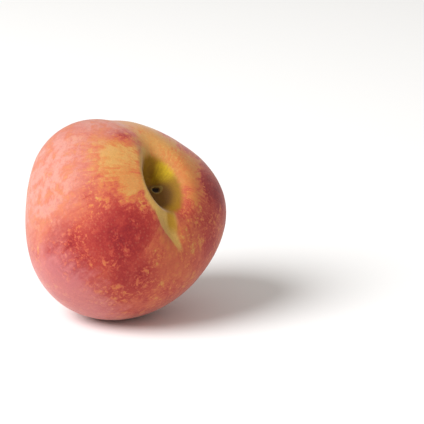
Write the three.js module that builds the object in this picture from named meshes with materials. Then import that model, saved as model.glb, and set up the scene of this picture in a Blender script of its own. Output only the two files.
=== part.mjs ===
// A ripe peach lying on its side, with its stem cavity turned up and forward.
// Millimetres, +Z up. The origin is the middle of the small flat spot that the fruit rests on.
//
// The fruit is worked out in a frame of its own, about a point near its middle:
//   +X  the seam side, where the long seam runs from the stem cavity down to the tip
//   +Y  the near cheek, -Y the far cheek
//   +Z  the stem end, -Z the tip
// Every point of the skin is a direction from that middle and a distance along it.
import * as THREE from "three";
import { mergeVertices } from "three/addons/utils/BufferGeometryUtils.js";

// Half sizes of the plain round body, before the swellings.
const halfAcrossSeam = 35.5;
const halfAcrossCheeks = 31.5;
const halfAlongStem = 31;
const fullness = 2.1;

// Broad swellings. polar is the angle from the stem end, around goes from the seam towards the near cheek.
const swellings = [
  { name: "shoulder on the seam side", polar: 96, around: 21, height: 4.0, spread: 32 },
  { name: "foot of the near cheek", polar: 132, around: 124, height: 5.1, spread: 47 },
  { name: "far cheek", polar: 54, around: -99, height: 6.9, spread: 37.5 },
  { name: "underside", polar: 132, around: -158, height: 1.3, spread: 18 },
];

// Stem cavity: an egg in plan, drawn out along the seam, with a sharp lip on the near cheek's side.
const cavityDepth = 7.5;
const cavityToSeam = 13;
const cavityAwayFromSeam = 12;
const cavityToNearCheek = 9;
const cavityToFarCheek = 6;
const softLip = 3;
const sharpLip = 12;
const sharpLipReach = 14;

// Scar where the stem broke off: a small pit inside a raised ring, a little longer towards the near cheek.
const scarRingRadius = 1.5;
const scarRingHeight = 0.5;
const scarRingWidth = 0.5;
const scarPitRadius = 0.95;
const scarPitDepth = 0.8;
const scarStretch = 1.3;
const scarTurn = 116;

// Seam: a wide fold beside the cavity that narrows to a shallow groove down to the tip.
const foldDepth = 3;
const foldFade = 30;
const seamEndDepth = 0.6;
const foldWidth = 6;
const seamWidth = 4;
const grooveShape = 2.2;
const sharpGrooveShape = 4;

// Short groove on the back: a pocket past the lip that runs out as it crosses over to the seam's plane.
const backGrooveDepth = 2.4;
const backGrooveWidth = 3.2;
const backGrooveSwing = 20;

// Blunt point at the end away from the stem.
const tipHeight = 1.2;
const tipSpread = 8;

// How the fruit lies: the stem end leans over from upright, towards a heading measured from +X.
const stemLean = 52;
const stemHeading = -45;
const turnAboutStem = 170;

// The underside is pressed flat at this distance below the middle of the fruit.
const restDepth = 35.9;

// Skin grid: rings from the stem scar to the tip, gathered towards the stem, and columns gathered towards the seam.
const rings = 68;
const columns = 84;
const ringGathering = 0.22;
const columnGathering = 0.26;

const skinColor = 0xc8613f;

const radians = THREE.MathUtils.degToRad;
const degrees = THREE.MathUtils.radToDeg;
const smooth = THREE.MathUtils.smoothstep;

function towards(polar, around) {
  return new THREE.Vector3().setFromSphericalCoords(1, radians(polar), radians(around));
}

// setFromSphericalCoords measures its first angle from +Y, so the axes are put in this fruit's order.
function fruitDirection(polar, around) {
  const d = towards(polar, around);
  return new THREE.Vector3(d.z, d.x, d.y);
}

const swellingDirections = swellings.map((s) => fruitDirection(s.polar, s.around));

function bodyDistance(d) {
  const across = Math.abs(d.x / halfAcrossSeam) ** fullness;
  const cheeks = Math.abs(d.y / halfAcrossCheeks) ** fullness;
  const along = Math.abs(d.z / halfAlongStem) ** fullness;
  let distance = (across + cheeks + along) ** (-1 / fullness);
  swellings.forEach((swelling, i) => {
    const away = degrees(d.angleTo(swellingDirections[i]));
    distance += swelling.height * Math.exp(-((away / swelling.spread) ** 2));
  });
  return distance;
}

// How far the groove has swung from the seam's plane, at a polar angle and a side.
function swingAt(polar, seamSide) {
  const swung = smooth(polar, 8, 20) * (1 - smooth(polar, 20, 50));
  return radians(backGrooveSwing) * (1 - seamSide) * swung;
}

function cavityAt(d, x, y) {
  const reachX = x > 0 ? cavityToSeam : cavityAwayFromSeam;
  const reachY = y > 0 ? cavityToNearCheek : cavityToFarCheek;
  const q = Math.hypot(x / reachX, y / reachY);
  const sharpness = smooth(y, -3, 4) * Math.exp(-((x / sharpLipReach) ** 4));
  const lip = softLip + (sharpLip - softLip) * sharpness;
  return cavityDepth * smooth(d.z, 0, 0.35) * Math.exp(-(q ** lip));
}

function grooveAt(polar, seamSide, y) {
  const fold = foldDepth * Math.exp(-((polar / foldFade) ** 3));
  const seamEnd = seamEndDepth * (1 - smooth(polar, 130, 175));
  const width = foldWidth + (seamWidth - foldWidth) * smooth(polar, 15, 48);
  const nearSide = smooth(y, -1, 1) * (1 - smooth(polar, 24, 42));
  const shape = grooveShape + (sharpGrooveShape - grooveShape) * nearSide;
  const seam = (fold + seamEnd) * Math.exp(-(Math.abs(y / width) ** shape));
  const backRun = smooth(polar, 20, 29) * (1 - smooth(polar, 33, 47));
  const back = backGrooveDepth * backRun * Math.exp(-(Math.abs(y / backGrooveWidth) ** grooveShape));
  return seam * seamSide + back * (1 - seamSide);
}

function scarAt(x, y) {
  const turn = radians(scarTurn);
  const lengthwise = x * Math.cos(turn) + y * Math.sin(turn);
  const crosswise = y * Math.cos(turn) - x * Math.sin(turn);
  const fromStemAxis = Math.hypot(lengthwise / scarStretch, crosswise);
  const ring = scarRingHeight * Math.exp(-(((fromStemAxis - scarRingRadius) / scarRingWidth) ** 2));
  const pit = scarPitDepth * Math.exp(-((fromStemAxis / scarPitRadius) ** 4));
  return ring - pit;
}

function skinDistance(d) {
  const polar = degrees(Math.acos(THREE.MathUtils.clamp(d.z, -1, 1)));
  const seamSide = smooth(d.x, -0.25, 0.25);
  let distance = bodyDistance(d);
  const swing = swingAt(polar, seamSide);
  const x = distance * d.x;
  const y = distance * d.y;
  distance -= cavityAt(d, x, y);
  distance -= grooveAt(polar, seamSide, y * Math.cos(swing) + x * Math.sin(swing));
  if (polar < 30) distance += scarAt(distance * d.x, distance * d.y);
  return distance + tipHeight * Math.exp(-(((180 - polar) / tipSpread) ** 2));
}

// From the fruit's own frame to the way it lies.
const lying = new THREE.Matrix4()
  .makeRotationZ(radians(stemHeading))
  .multiply(new THREE.Matrix4().makeRotationY(radians(stemLean)))
  .multiply(new THREE.Matrix4().makeRotationZ(radians(turnAboutStem)));

function skinPoint(ring, column) {
  const t = ring / rings;
  const polar = 180 * (ringGathering * t + (1 - ringGathering) * t * t);
  const turn = (2 * Math.PI * column) / columns;
  let around = turn - columnGathering * Math.sin(2 * turn);
  around -= swingAt(polar, smooth(Math.cos(around), -0.25, 0.25));
  const d = fruitDirection(polar, degrees(around));
  const point = d.multiplyScalar(skinDistance(d)).applyMatrix4(lying);
  point.z = Math.max(point.z, -restDepth);
  return point;
}

function skinGeometry() {
  const positions = [];
  for (let ring = 0; ring <= rings; ring++) {
    for (let column = 0; column < columns; column++) {
      positions.push(...skinPoint(ring, ring === 0 || ring === rings ? 0 : column));
    }
  }
  const index = [];
  for (let ring = 0; ring < rings; ring++) {
    for (let column = 0; column < columns; column++) {
      const next = (column + 1) % columns;
      const a = ring * columns + column;
      const b = ring * columns + next;
      const c = a + columns;
      const e = b + columns;
      if (ring > 0) index.push(a, c, b);
      if (ring < rings - 1) index.push(b, c, e);
    }
  }
  const geometry = new THREE.BufferGeometry();
  geometry.setAttribute("position", new THREE.Float32BufferAttribute(positions, 3));
  geometry.setIndex(index);
  const skin = mergeVertices(geometry, 1e-5);
  skin.computeVertexNormals();
  return skin;
}

// The middle of the flat spot, seen from above.
function restSpotCentre(geometry) {
  const spot = new THREE.Box3();
  const points = geometry.getAttribute("position");
  const point = new THREE.Vector3();
  for (let i = 0; i < points.count; i++) {
    point.fromBufferAttribute(points, i);
    if (point.z < -restDepth + 0.001) spot.expandByPoint(point);
  }
  return spot.getCenter(new THREE.Vector3());
}

const geometry = skinGeometry();
const skin = new THREE.MeshStandardMaterial({ color: skinColor, roughness: 0.75, metalness: 0 });
const peach = new THREE.Mesh(geometry, skin);
peach.name = "peach";
peach.position.copy(restSpotCentre(geometry)).negate();

const fruit = new THREE.Group();
fruit.name = "peach lying on its side";
fruit.add(peach);

export default fruit;
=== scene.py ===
import bpy
import bmesh
import math
from mathutils import Matrix, Vector


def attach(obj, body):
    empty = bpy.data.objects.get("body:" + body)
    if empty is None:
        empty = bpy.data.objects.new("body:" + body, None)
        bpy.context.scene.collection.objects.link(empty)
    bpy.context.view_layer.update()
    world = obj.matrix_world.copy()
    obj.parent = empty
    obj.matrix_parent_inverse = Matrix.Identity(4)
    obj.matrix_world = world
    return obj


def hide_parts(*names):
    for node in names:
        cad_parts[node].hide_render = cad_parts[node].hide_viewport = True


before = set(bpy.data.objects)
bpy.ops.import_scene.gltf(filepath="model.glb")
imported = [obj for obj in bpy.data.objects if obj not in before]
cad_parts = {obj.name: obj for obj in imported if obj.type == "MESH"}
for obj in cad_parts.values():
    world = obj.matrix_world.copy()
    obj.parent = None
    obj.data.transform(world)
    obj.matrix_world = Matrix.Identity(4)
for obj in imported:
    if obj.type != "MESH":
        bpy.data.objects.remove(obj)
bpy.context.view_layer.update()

mm = 0.001

# How the fruit lies: the turns and the middle that its solid was built with.
lie = {
    "stemLean": 52,
    "stemHeading": -45,
    "turnAboutStem": 170,
    "middle": (0.00074, 0.00171, 0.0359),
}
lieTurn = (
    Matrix.Rotation(math.radians(lie["stemHeading"]), 3, "Z")
    @ Matrix.Rotation(math.radians(lie["stemLean"]), 3, "Y")
    @ Matrix.Rotation(math.radians(lie["turnAboutStem"]), 3, "Z")
)


def fruitDirection(polar, around):
    # polar from the stem end, around from the seam towards the near cheek, both in degrees
    p, a = math.radians(polar), math.radians(around)
    return (math.sin(p) * math.cos(a), math.sin(p) * math.sin(a), math.cos(p))


def linear(red, green, blue, alpha=1.0):
    def one(value):
        value /= 255
        return value / 12.92 if value <= 0.04045 else ((value + 0.055) / 1.055) ** 2.4
    return (one(red), one(green), one(blue), alpha)


# small helpers for node trees

def addNode(tree, kind, inputs=None, **settings):
    made = tree.nodes.new(kind)
    for name, value in settings.items():
        setattr(made, name, value)
    for key, value in (inputs or {}).items():
        if isinstance(value, bpy.types.NodeSocket):
            tree.links.new(value, made.inputs[key])
        else:
            made.inputs[key].default_value = value
    return made


def mathOf(tree, operation, *values):
    made = addNode(tree, "ShaderNodeMath", dict(enumerate(values)), operation=operation)
    return made.outputs[0]


def vectorOf(tree, operation, *values):
    made = addNode(tree, "ShaderNodeVectorMath", dict(enumerate(values)), operation=operation)
    return made.outputs["Value" if operation in ("DOT_PRODUCT", "LENGTH", "DISTANCE") else "Vector"]


def rampTo(tree, value, start, end, low=0.0, high=1.0):
    made = addNode(
        tree, "ShaderNodeMapRange",
        {"Value": value, "From Min": start, "From Max": end, "To Min": low, "To Max": high},
        interpolation_type="SMOOTHSTEP",
    )
    return made.outputs["Result"]


def noiseOf(tree, vector, scale, detail=3.0, roughness=0.5, distortion=0.0):
    made = addNode(tree, "ShaderNodeTexNoise", {
        "Vector": vector, "Scale": scale, "Detail": detail, "Roughness": roughness, "Distortion": distortion,
    })
    return made.outputs["Fac"]


def mixOf(tree, factor, first, second):
    made = addNode(tree, "ShaderNodeMix", {"Factor": factor}, data_type="RGBA")
    for socket, value in ((made.inputs[6], first), (made.inputs[7], second)):
        if isinstance(value, bpy.types.NodeSocket):
            tree.links.new(value, socket)
        else:
            socket.default_value = value
    return made.outputs[2]


def rampColour(tree, value, stops):
    made = tree.nodes.new("ShaderNodeValToRGB")
    tree.links.new(value, made.inputs["Fac"])
    bar = made.color_ramp
    bar.interpolation = "B_SPLINE"
    while len(bar.elements) < len(stops):
        bar.elements.new(0.5)
    for element, (place, colour) in zip(bar.elements, stops):
        element.position = place
        element.color = colour
    return made.outputs["Color"]


# the skin's finish

skinTones = {
    # the cavity wall tones are one yellow-green in painted light and in painted shade; the floor tone adds a
    # painted shadow to its own darker olive
    "litWallGreen": (200, 166, 14),
    "shadedWallOlive": (146, 104, 2),
    "floorOliveAndShadow": (104, 66, 0),
    "grooveOliveAndShade": (166, 122, 22),
    "lipCream": (196, 158, 84),
    "ground": (196, 152, 86),
    "orange": (194, 116, 56),
    "coral": (192, 94, 66),
    "red": (170, 62, 50),
    "deepRed": (154, 38, 36),
    "crimson": (116, 18, 30),
    # salmon is the cheek's paler colour together with a painted highlight; rose is the foot's colour together
    # with painted sheen haze
    "salmonAndHighlight": (198, 140, 128),
    "roseAndSheen": (194, 124, 126),
    "dot": (196, 124, 92),
    "scarRing": (134, 108, 44),
    "scarPit": (26, 12, 4),
}

skinFinish = {
    "roseAndSheenStrength": 0.58,
    "dotStrength": 0.16,
    "sheen": 0.34,
    "sheenRoughness": 0.4,
    "sheenTint": (1.0, 0.86, 0.84, 1.0),
    "roughness": 0.62,
    "specular": 0.22,
    "subsurface": 0.10,
    "subsurfaceReach": 0.002,
    "subsurfaceSpread": (1.0, 0.35, 0.15),
    "fuzzBump": 0.3,
    "fuzzDepth": 0.0004,
}

# How fine each pattern of the skin is, in repeats per millimetre.
patternScale = {
    "clouds": 0.06,
    "crowd": 0.085,
    "patches": 0.17,
    "mottle": 0.34,
    "dots": 0.85,
    "flecks": 0.95,
    "scarEdge": 1.3,
    "grain": 2.6,
}

# Streaks run from the stem end towards the tip: fine around the fruit, long down it.
streakShape = {"around": 9.0, "down": 0.05, "bend": 0.8, "scale": 1.5}

# The stem cavity's egg shape in mm, as in its solid, with where its floor, darkened partly by painted shadow,
# and its walls in painted light are.
stemCavity = {
    "toSeam": 13.0,
    "awayFromSeam": 12.0,
    "toNearCheek": 9.0,
    "toFarCheek": 6.0,
    "floorMiddle": (-3.0, 0.5, 23.0),
    "floorReach": 7.5,
    "litWall": {"polar": 20, "around": -52, "inner": 4, "outer": 15},
    "litEnd": {"polar": 22, "around": -90, "inner": 3, "outer": 12},
}

# The short groove on the back swings over to one side by this much, until this far from the stem end.
backGroove = {"swing": 20.0, "swingFrom": 20.0, "swingEnds": 50.0, "ends": (40.0, 48.0)}

# The stem scar is a little longer towards the near cheek, as in its solid.
scar = {"stretch": 1.3, "turn": 116}

# Blush of each part of the skin, laid one over the other, from 0 for the yellow ground to 1 for crimson.
# polar is measured from the stem end, around from the seam towards the near cheek, all in degrees.
commonBlush = 0.46
blushPatches = [
    {"polar": 90, "around": -100, "inner": 20, "outer": 75, "blush": 0.56},
    {"polar": 88, "around": 62, "inner": 16, "outer": 60, "blush": 0.32},
    {"polar": 74, "around": 137, "inner": 18, "outer": 50, "blush": 0.54},
    {"polar": 86, "around": 112, "inner": 9, "outer": 25, "blush": 0.74},
    {"polar": 51, "around": 126, "inner": 6, "outer": 32, "blush": 0.84},
    {"polar": 48, "around": 178, "inner": 12, "outer": 28, "blush": 0.36},
    {"polar": 66, "around": 152, "inner": 4, "outer": 18, "blush": 0.74},
    {"polar": 14, "around": -60, "inner": 13, "outer": 24, "blush": 0.14},
    {"polar": 38, "around": 50, "inner": 4, "outer": 28, "blush": 0.00},
    {"polar": 27, "around": 84, "inner": 3, "outer": 16, "blush": 0.12},
    {"polar": 34, "around": -106, "inner": 9, "outer": 15, "blush": 0.80},
    {"polar": 36, "around": -138, "inner": 3, "outer": 13, "blush": 0.62},
    {"polar": 50, "around": -146, "inner": 2, "outer": 10, "blush": 0.72},
    {"polar": 20, "around": -126, "inner": 5, "outer": 10, "blush": 0.20},
    {"polar": 62, "around": 14, "inner": 6, "outer": 20, "blush": 0.32},
    {"polar": 52, "around": -8, "inner": 6, "outer": 18, "blush": 0.02},
    {"polar": 34, "around": -12, "inner": 9, "outer": 19, "blush": 0.08},
    {"polar": 43, "around": 20, "inner": 1, "outer": 9, "blush": 0.56},
    {"polar": 172, "around": 0, "inner": 4, "outer": 34, "blush": 0.16},
]

# The near cheek is pale salmon, its own paler colour with a painted highlight where the light falls
# strongest, and the foot of the fruit is a dusty rose, its own colour with painted sheen haze along the lower
# rim.
paleAndHighlightPatches = [
    {"polar": 90, "around": 57, "inner": 20, "outer": 54},
    {"polar": 64, "around": 14, "inner": 8, "outer": 28},
]
roseAndSheenPatch = {"polar": 120, "around": 131, "inner": 21, "outer": 47}


def fruitCoordinates(tree):
    # millimetres in the fruit's own frame: +X seam side, +Y near cheek, +Z stem end
    objectPlace = addNode(tree, "ShaderNodeTexCoord").outputs["Object"]
    mapping = addNode(tree, "ShaderNodeMapping", {"Vector": objectPlace}, vector_type="TEXTURE")
    mapping.inputs["Location"].default_value = lie["middle"]
    mapping.inputs["Rotation"].default_value = lieTurn.to_euler("XYZ")
    mapping.inputs["Scale"].default_value = (mm, mm, mm)
    return mapping.outputs["Vector"]


def added(tree, first, *others):
    for other in others:
        first = mathOf(tree, "ADD", first, other)
    return first


def times(tree, first, *others):
    for other in others:
        first = mathOf(tree, "MULTIPLY", first, other)
    return first


def centred(tree, value, factor):
    return times(tree, mathOf(tree, "SUBTRACT", value, 0.5), factor)


def mixValue(tree, factor, first, second):
    made = addNode(tree, "ShaderNodeMix", {"Factor": factor}, data_type="FLOAT")
    for socket, value in ((made.inputs[2], first), (made.inputs[3], second)):
        if isinstance(value, bpy.types.NodeSocket):
            tree.links.new(value, socket)
        else:
            socket.default_value = value
    return made.outputs[0]


def patchMask(tree, direction, wobble, patch):
    # 1 within the patch's inner degrees of its middle, fading to 0 at its outer degrees
    dot = vectorOf(tree, "DOT_PRODUCT", direction, fruitDirection(patch["polar"], patch["around"]))
    angle = mathOf(tree, "DEGREES", mathOf(tree, "ARCCOSINE", dot))
    return rampTo(tree, added(tree, angle, wobble), patch["outer"], patch["inner"])


def skinPlaces(tree):
    # where a point of the skin is, in millimetres, as a direction and as an angle from the stem end
    place = fruitCoordinates(tree)
    direction = vectorOf(tree, "NORMALIZE", place)
    along = addNode(tree, "ShaderNodeSeparateXYZ", {"Vector": direction}).outputs
    inPlace = addNode(tree, "ShaderNodeSeparateXYZ", {"Vector": place}).outputs
    return {
        "place": place,
        "direction": direction,
        "alongX": along["X"],
        "alongY": along["Y"],
        "x": inPlace["X"],
        "y": inPlace["Y"],
        "polar": mathOf(tree, "DEGREES", mathOf(tree, "ARCCOSINE", along["Z"])),
        "stemEnd": rampTo(tree, along["Z"], 0.2, 0.4),
    }


def skinPatterns(tree, at):
    # from broad clouds down to the grain of the fuzz
    place, polar = at["place"], at["polar"]
    at["clouds"] = noiseOf(tree, place, patternScale["clouds"], detail=2.0)
    at["crowd"] = noiseOf(tree, place, patternScale["crowd"], detail=2.0)
    at["patches"] = noiseOf(tree, place, patternScale["patches"], detail=4.0, roughness=0.6)
    at["mottle"] = noiseOf(tree, place, patternScale["mottle"], detail=5.0, roughness=0.70, distortion=0.2)
    at["flecks"] = noiseOf(tree, place, patternScale["flecks"], detail=3.0, roughness=0.6)
    at["grain"] = noiseOf(tree, place, patternScale["grain"], detail=2.0, roughness=0.65)

    sine = mathOf(tree, "MAXIMUM", mathOf(tree, "SINE", mathOf(tree, "RADIANS", polar)), 0.05)
    bend = centred(tree, at["patches"], streakShape["bend"])
    streakPlace = addNode(tree, "ShaderNodeCombineXYZ", {
        "X": times(tree, mathOf(tree, "DIVIDE", at["alongX"], sine), streakShape["around"]),
        "Y": times(tree, mathOf(tree, "DIVIDE", at["alongY"], sine), streakShape["around"]),
        "Z": added(tree, times(tree, polar, streakShape["down"]), bend),
    }).outputs[0]
    at["streaks"] = noiseOf(
        tree, streakPlace, streakShape["scale"], detail=4.0, roughness=0.65, distortion=0.6,
    )

    # degrees by which the edge of a patch of colour wanders
    at["wobble"] = added(
        tree, centred(tree, at["clouds"], 16.0), centred(tree, at["patches"], 20.0),
        centred(tree, at["mottle"], 12.0), centred(tree, at["streaks"], 22.0),
    )


def blushColour(tree, at, tone):
    blush = commonBlush
    for patch in blushPatches:
        mask = patchMask(tree, at["direction"], at["wobble"], patch)
        blush = mixValue(tree, mask, blush, patch["blush"])

    # mottling lightens the red in soft spots, and leaves the ground colours nearly alone
    at["redness"] = rampTo(tree, blush, 0.05, 0.60, 0.30, 1.0)
    crowd = rampTo(tree, at["crowd"], 0.38, 0.60, 0.25, 1.0)
    spots = times(tree, rampTo(tree, at["mottle"], 0.50, 0.66), crowd, 0.56)
    smallSpots = times(tree, rampTo(tree, at["flecks"], 0.52, 0.70), crowd, 0.36)
    change = added(
        tree, centred(tree, at["patches"], 0.80), centred(tree, at["streaks"], 0.50),
        centred(tree, at["mottle"], 0.40), centred(tree, at["grain"], 0.56),
        times(tree, mathOf(tree, "MAXIMUM", spots, smallSpots), -1.0),
    )
    blush = mathOf(tree, "ADD", blush, times(tree, change, at["redness"]))
    return rampColour(tree, blush, [
        (0.00, tone["ground"]),
        (0.14, tone["orange"]),
        (0.32, tone["coral"]),
        (0.52, tone["red"]),
        (0.74, tone["deepRed"]),
        (0.98, tone["crimson"]),
    ])


def cheekColour(tree, at, tone, colour):
    # pale salmon cheek with a painted highlight, dusty rose foot with painted sheen haze
    paleLitCheek, paleLitBrow = [patchMask(tree, at["direction"], at["wobble"], patch) for patch in paleAndHighlightPatches]
    paleAndHighlightMask = mathOf(tree, "MAXIMUM", paleLitCheek, paleLitBrow)
    unevenness = added(tree, at["patches"], centred(tree, at["mottle"], 0.7))
    paleAndHighlightTint = times(tree, paleAndHighlightMask, rampTo(tree, unevenness, 0.34, 0.66, 0.28, 0.92))
    colour = mixOf(tree, paleAndHighlightTint, colour, tone["salmonAndHighlight"])
    # rose over the lower rim: the foot's own colour with painted sheen haze
    roseAndSheenMask = patchMask(tree, at["direction"], at["wobble"], roseAndSheenPatch)
    return mixOf(tree, times(tree, roseAndSheenMask, skinFinish["roseAndSheenStrength"]), colour, tone["roseAndSheen"])


def dotColour(tree, at, tone, colour):
    # tiny pale dots, scattered where the skin is red
    dots = addNode(
        tree, "ShaderNodeTexVoronoi", {"Vector": at["place"], "Scale": patternScale["dots"]}, feature="F1",
    )
    chance = addNode(tree, "ShaderNodeSeparateColor", {"Color": dots.outputs["Color"]}).outputs[0]
    dotMask = times(
        tree, rampTo(tree, dots.outputs["Distance"], 0.42, 0.16), rampTo(tree, chance, 0.35, 0.45),
        at["redness"], skinFinish["dotStrength"],
    )
    return mixOf(tree, dotMask, colour, tone["dot"])


def eggDistance(tree, at):
    # distance from the scar in plan: 1 at the lip of the stem cavity
    def reach(value, ahead, behind):
        return mathOf(
            tree, "MAXIMUM", mathOf(tree, "DIVIDE", value, ahead), mathOf(tree, "DIVIDE", value, -behind),
        )
    eggX = reach(at["x"], stemCavity["toSeam"], stemCavity["awayFromSeam"])
    eggY = reach(at["y"], stemCavity["toNearCheek"], stemCavity["toFarCheek"])
    egg = vectorOf(tree, "LENGTH", addNode(tree, "ShaderNodeCombineXYZ", {"X": eggX, "Y": eggY}).outputs[0])
    return added(tree, egg, centred(tree, at["streaks"], 0.16), centred(tree, at["mottle"], 0.10))


def lipColour(tree, at, tone, colour):
    # cream band along the sharp lip of the cavity
    lipReach = rampTo(tree, at["x"], -8.0, 4.0, 1.40, 1.22)
    lipBand = times(
        tree, rampTo(tree, mathOf(tree, "SUBTRACT", at["egg"], lipReach), 0.04, -0.12),
        rampTo(tree, at["y"], -1.0, 3.0), at["stemEnd"],
    )
    return mixOf(tree, times(tree, lipBand, 0.85), colour, tone["lipCream"])


def backGrooveColour(tree, at, tone, colour):
    # cream on the near slope of the short groove, and in its bottom a greener olive darkened by painted shade
    polar, stemEnd = at["polar"], at["stemEnd"]
    swing = rampTo(tree, polar, backGroove["swingFrom"], backGroove["swingEnds"], backGroove["swing"], 0.0)
    swing = mathOf(tree, "RADIANS", swing)
    offGroove = added(
        tree, times(tree, at["y"], mathOf(tree, "COSINE", swing)),
        times(tree, at["x"], mathOf(tree, "SINE", swing)), centred(tree, at["mottle"], 1.2),
    )
    runsOut, ends = backGroove["ends"]
    raggedPolar = added(tree, polar, centred(tree, at["streaks"], 8.0))
    grooveRun = times(
        tree, rampTo(tree, at["x"], -6.0, -9.0), stemEnd, rampTo(tree, raggedPolar, ends, runsOut),
    )
    nearEdge = rampTo(tree, polar, 24.0, 46.0, 5.4, 0.2)
    farEdge = rampTo(tree, polar, 24.0, 46.0, -3.2, -1.6)
    pale = times(
        tree, grooveRun, rampTo(tree, mathOf(tree, "SUBTRACT", offGroove, nearEdge), 0.5, -0.5),
        rampTo(tree, mathOf(tree, "SUBTRACT", offGroove, farEdge), -0.8, 0.6),
    )
    # the groove's bottom: its own greener colour with painted shade
    oliveAndShade = times(
        tree, grooveRun, rampTo(tree, offGroove, 0.4, -1.0), rampTo(tree, offGroove, -4.2, -2.4),
        rampTo(tree, polar, 38.0, 30.0),
    )
    colour = mixOf(tree, times(tree, pale, 0.9), colour, tone["lipCream"])
    return mixOf(tree, times(tree, oliveAndShade, 0.9), colour, tone["grooveOliveAndShade"])


def cavityColourAndShade(tree, at, tone, colour):
    # inside of the stem cavity, with painted light and shade over its olive and yellow-green colour: walls in
    # painted shade, a far wall in painted light, and a floor that is darker olive of its own and darker still
    # from a painted shadow
    inside = times(tree, rampTo(tree, at["egg"], 1.08, 0.82), at["stemEnd"])
    wallWobble = times(tree, at["wobble"], 0.3)
    litWall = mathOf(
        tree, "MAXIMUM", patchMask(tree, at["direction"], wallWobble, stemCavity["litWall"]),
        times(tree, patchMask(tree, at["direction"], wallWobble, stemCavity["litEnd"]), 0.8),
    )
    # painted light and shade: the lit walls get the lit yellow-green, the rest of the walls the olive of
    # painted shade
    insideToneAndShade = mixOf(tree, litWall, tone["shadedWallOlive"], tone["litWallGreen"])
    # the floor is darker olive of its own, and darker still from a painted shadow of the lip
    fromFloor = vectorOf(tree, "DISTANCE", at["place"], stemCavity["floorMiddle"])
    floorAndShadowMask = rampTo(tree, fromFloor, stemCavity["floorReach"], 3.5)
    insideToneAndShade = mixOf(tree, floorAndShadowMask, insideToneAndShade, tone["floorOliveAndShadow"])
    return mixOf(tree, inside, colour, insideToneAndShade)


def scarColour(tree, at, tone, colour):
    # a pale torn ring round a dark pit
    turned = addNode(tree, "ShaderNodeVectorRotate", {
        "Vector": addNode(tree, "ShaderNodeCombineXYZ", {"X": at["x"], "Y": at["y"]}).outputs[0],
        "Angle": math.radians(-scar["turn"]),
    }, rotation_type="Z_AXIS").outputs[0]
    fromStem = vectorOf(tree, "LENGTH", vectorOf(tree, "MULTIPLY", turned, (1 / scar["stretch"], 1.0, 0.0)))
    torn = noiseOf(tree, at["place"], patternScale["scarEdge"], detail=3.0)
    ragged = added(tree, fromStem, centred(tree, torn, 0.5))
    ring = times(tree, rampTo(tree, ragged, 1.95, 1.65), rampTo(tree, ragged, 1.10, 1.40), at["stemEnd"])
    pit = times(tree, rampTo(tree, ragged, 1.30, 0.85), at["stemEnd"])
    colour = mixOf(tree, times(tree, ring, 0.85), colour, tone["scarRing"])
    return mixOf(tree, times(tree, pit, 0.97), colour, tone["scarPit"])


def grainedColour(tree, at, colour):
    # grain of the fuzz, a little lighter and darker from hair to hair
    grainTone = added(tree, 1.0, centred(tree, at["grain"], 0.50), centred(tree, at["flecks"], 0.18))
    toned = addNode(tree, "ShaderNodeVectorMath", {0: colour, "Scale": grainTone}, operation="SCALE")
    return toned.outputs["Vector"]


def peachSkin():
    tone = {name: linear(*value) for name, value in skinTones.items()}
    material = bpy.data.materials.new("peach skin")
    material.use_nodes = True
    tree = material.node_tree
    tree.nodes.clear()
    at = skinPlaces(tree)
    skinPatterns(tree, at)
    at["egg"] = eggDistance(tree, at)
    colour = blushColour(tree, at, tone)
    for layer in (cheekColour, dotColour, lipColour, backGrooveColour, cavityColourAndShade, scarColour):
        colour = layer(tree, at, tone, colour)
    colour = grainedColour(tree, at, colour)

    bumpHeight = added(tree, times(tree, at["grain"], 0.6), times(tree, at["flecks"], 0.5))
    bump = addNode(tree, "ShaderNodeBump", {
        "Strength": skinFinish["fuzzBump"], "Distance": skinFinish["fuzzDepth"], "Height": bumpHeight,
    })
    shader = addNode(tree, "ShaderNodeBsdfPrincipled", {
        "Base Color": colour,
        "Roughness": added(tree, skinFinish["roughness"], centred(tree, at["patches"], 0.12)),
        "Normal": bump.outputs["Normal"],
        "Sheen Weight": skinFinish["sheen"],
        "Sheen Roughness": skinFinish["sheenRoughness"],
        "Sheen Tint": skinFinish["sheenTint"],
        "Subsurface Weight": skinFinish["subsurface"],
        "Subsurface Radius": skinFinish["subsurfaceSpread"],
        "Subsurface Scale": skinFinish["subsurfaceReach"],
        "Specular IOR Level": skinFinish["specular"],
    })
    output = addNode(tree, "ShaderNodeOutputMaterial")
    tree.links.new(shader.outputs["BSDF"], output.inputs["Surface"])
    return material


# the skin's shape

skinShape = {
    "smoothing": 2,
    "broadRelief": 0.35 * mm,
    "broadSize": 11 * mm,
    "fineRelief": 0.06 * mm,
    "fineSize": 1.5 * mm,
    "reliefMiddle": 0.62,
    "seed": 4.0,
}


def addTreeInputs(tree, inputs):
    tree.interface.new_socket("Geometry", in_out="INPUT", socket_type="NodeSocketGeometry")
    tree.interface.new_socket("Geometry", in_out="OUTPUT", socket_type="NodeSocketGeometry")
    for name, kind in inputs:
        tree.interface.new_socket(name, in_out="INPUT", socket_type="NodeSocket" + kind)


def setInputs(modifier, values):
    for item in modifier.node_group.interface.items_tree:
        if item.item_type == "SOCKET" and item.in_out == "INPUT" and item.name in values:
            modifier[item.identifier] = values[item.name]


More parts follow.
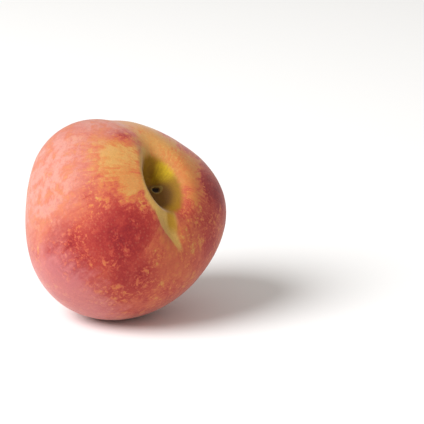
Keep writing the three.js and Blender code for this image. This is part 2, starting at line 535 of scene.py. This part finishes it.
def reliefTree():
    tree = bpy.data.node_groups.new("fruit relief", "GeometryNodeTree")
    addTreeInputs(tree, [
        ("Smoothing", "Int"), ("Broad Relief", "Float"), ("Broad Size", "Float"),
        ("Fine Relief", "Float"), ("Fine Size", "Float"), ("Seed", "Float"), ("Finish", "Material"),
    ])
    given = tree.nodes.new("NodeGroupInput").outputs
    smoothed = addNode(tree, "GeometryNodeSubdivisionSurface",
                       {"Mesh": given["Geometry"], "Level": given["Smoothing"]})
    placeNow = tree.nodes.new("GeometryNodeInputPosition").outputs[0]
    normalNow = tree.nodes.new("GeometryNodeInputNormal").outputs[0]

    def relief(size, height):
        noise = addNode(tree, "ShaderNodeTexNoise", {
            "Vector": placeNow, "W": given["Seed"], "Scale": mathOf(tree, "DIVIDE", 1.0, size), "Detail": 2.0,
        }, noise_dimensions="4D")
        centredNoise = mathOf(tree, "SUBTRACT", noise.outputs["Fac"], skinShape["reliefMiddle"])
        return mathOf(tree, "MULTIPLY", centredNoise, height)

    height = mathOf(
        tree, "ADD",
        relief(given["Broad Size"], given["Broad Relief"]), relief(given["Fine Size"], given["Fine Relief"]),
    )
    offset = addNode(tree, "ShaderNodeVectorMath", {0: normalNow}, operation="SCALE")
    tree.links.new(height, offset.inputs["Scale"])
    raised = addNode(tree, "GeometryNodeSetPosition",
                     {"Geometry": smoothed.outputs["Mesh"], "Offset": offset.outputs["Vector"]})
    restPlace = tree.nodes.new("GeometryNodeInputPosition").outputs[0]
    aboveFloor = vectorOf(tree, "MAXIMUM", restPlace, (-1.0, -1.0, 0.0))
    settled = addNode(tree, "GeometryNodeSetPosition",
                      {"Geometry": raised.outputs["Geometry"], "Position": aboveFloor})
    shaded = addNode(tree, "GeometryNodeSetShadeSmooth", {"Geometry": settled.outputs["Geometry"]})
    real = addNode(tree, "GeometryNodeRealizeInstances", {"Geometry": shaded.outputs["Geometry"]})
    finished = addNode(tree, "GeometryNodeSetMaterial",
                       {"Geometry": real.outputs["Geometry"], "Material": given["Finish"]})
    out = tree.nodes.new("NodeGroupOutput")
    tree.links.new(finished.outputs["Geometry"], out.inputs["Geometry"])
    return tree


def quadCopy(source, name):
    mesh = source.data.copy()
    work = bmesh.new()
    work.from_mesh(mesh)
    bmesh.ops.remove_doubles(work, verts=work.verts, dist=0.001 * mm)
    bmesh.ops.join_triangles(
        work, faces=work.faces, angle_face_threshold=math.radians(60), angle_shape_threshold=math.radians(80),
    )
    work.to_mesh(mesh)
    work.free()
    mesh.materials.clear()
    made = bpy.data.objects.new(name, mesh)
    bpy.context.scene.collection.objects.link(made)
    return made


def finishedMesh(made, tree, values):
    # runs the tree on the object and keeps the result as its plain mesh
    modifier = made.modifiers.new("tree", "NODES")
    modifier.node_group = tree
    setInputs(modifier, values)
    evaluated = made.evaluated_get(bpy.context.evaluated_depsgraph_get())
    mesh = bpy.data.meshes.new_from_object(evaluated)
    made.modifiers.remove(modifier)
    made.data = mesh
    return made


skinMaterial = peachSkin()
skin = quadCopy(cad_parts["peach"], "peach_skin")
finishedMesh(skin, reliefTree(), {
    "Smoothing": skinShape["smoothing"],
    "Broad Relief": skinShape["broadRelief"],
    "Broad Size": skinShape["broadSize"],
    "Fine Relief": skinShape["fineRelief"],
    "Fine Size": skinShape["fineSize"],
    "Seed": skinShape["seed"],
    "Finish": skinMaterial,
})
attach(skin, "root")
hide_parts("peach")
print("skin:", len(skin.data.polygons), "faces")

# floor, light and camera

studio = {
    "floorSize": 6.0,
    "floorTone": (0.93, 0.93, 0.93, 1.0),
    "roomTone": (1.0, 0.97, 0.92, 1.0),
    "roomStrength": 0.5,
    "keyPower": 52.5,
    "keyTone": (0.985, 0.99, 1.0),
    "keySize": 1.4,
    "keyDistance": 2.0,
    "keyFrom": (-0.85, -0.40, 0.85),
}


def plainFloor():
    size = studio["floorSize"] / 2
    mesh = bpy.data.meshes.new("floor")
    corners = [(-size, -size, 0), (size, -size, 0), (size, size, 0), (-size, size, 0)]
    mesh.from_pydata(corners, [], [(0, 1, 2, 3)])
    floor = bpy.data.objects.new("floor", mesh)
    bpy.context.scene.collection.objects.link(floor)
    material = bpy.data.materials.new("pale floor")
    material.use_nodes = True
    shader = material.node_tree.nodes["Principled BSDF"]
    shader.inputs["Base Color"].default_value = studio["floorTone"]
    shader.inputs["Roughness"].default_value = 0.9
    shader.inputs["Specular IOR Level"].default_value = 0.1
    mesh.materials.append(material)


def aimed(thing, place, target):
    thing.location = place
    thing.rotation_mode = "QUATERNION"
    thing.rotation_quaternion = (Vector(target) - Vector(place)).to_track_quat("-Z", "Y")


def softLight(name, direction, distance, size, power, tone):
    lamp = bpy.data.lights.new(name, "AREA")
    lamp.shape = "DISK"
    lamp.size = size
    lamp.energy = power
    lamp.color = tone
    made = bpy.data.objects.new(name, lamp)
    bpy.context.scene.collection.objects.link(made)
    middle = Vector(lie["middle"])
    aimed(made, middle + Vector(direction).normalized() * distance, middle)
    return made


plainFloor()
softLight("window light", studio["keyFrom"], studio["keyDistance"], studio["keySize"], studio["keyPower"],
          studio["keyTone"])
world = bpy.data.worlds.new("pale room")
world.use_nodes = True
world.node_tree.nodes["Background"].inputs["Color"].default_value = studio["roomTone"]
world.node_tree.nodes["Background"].inputs["Strength"].default_value = studio["roomStrength"]
bpy.context.scene.world = world
bpy.context.scene.view_settings.view_transform = "Standard"

# The camera looks a little down, past the fruit's right side, so the fruit sits left of the middle.
view = {
    "height": 17,
    "distance": 0.65,
    "width": 0.1548,
    "pastRight": 0.0334,
    "above": 0.0016,
}
rise = math.radians(view["height"])
back = Vector((0, -math.cos(rise), math.sin(rise)))
up = Vector((0, math.sin(rise), math.cos(rise)))
middle = Vector(lie["middle"])
lens = bpy.data.cameras.new("camera")
lens.sensor_width = 36
lens.lens = lens.sensor_width * view["distance"] / view["width"]
camera = bpy.data.objects.new("camera", lens)
bpy.context.scene.collection.objects.link(camera)
lookAt = middle + Vector((view["pastRight"], 0, 0)) + up * view["above"]
aimed(camera, middle + back * view["distance"], lookAt)
bpy.context.scene.camera = camera
print("studio ready")
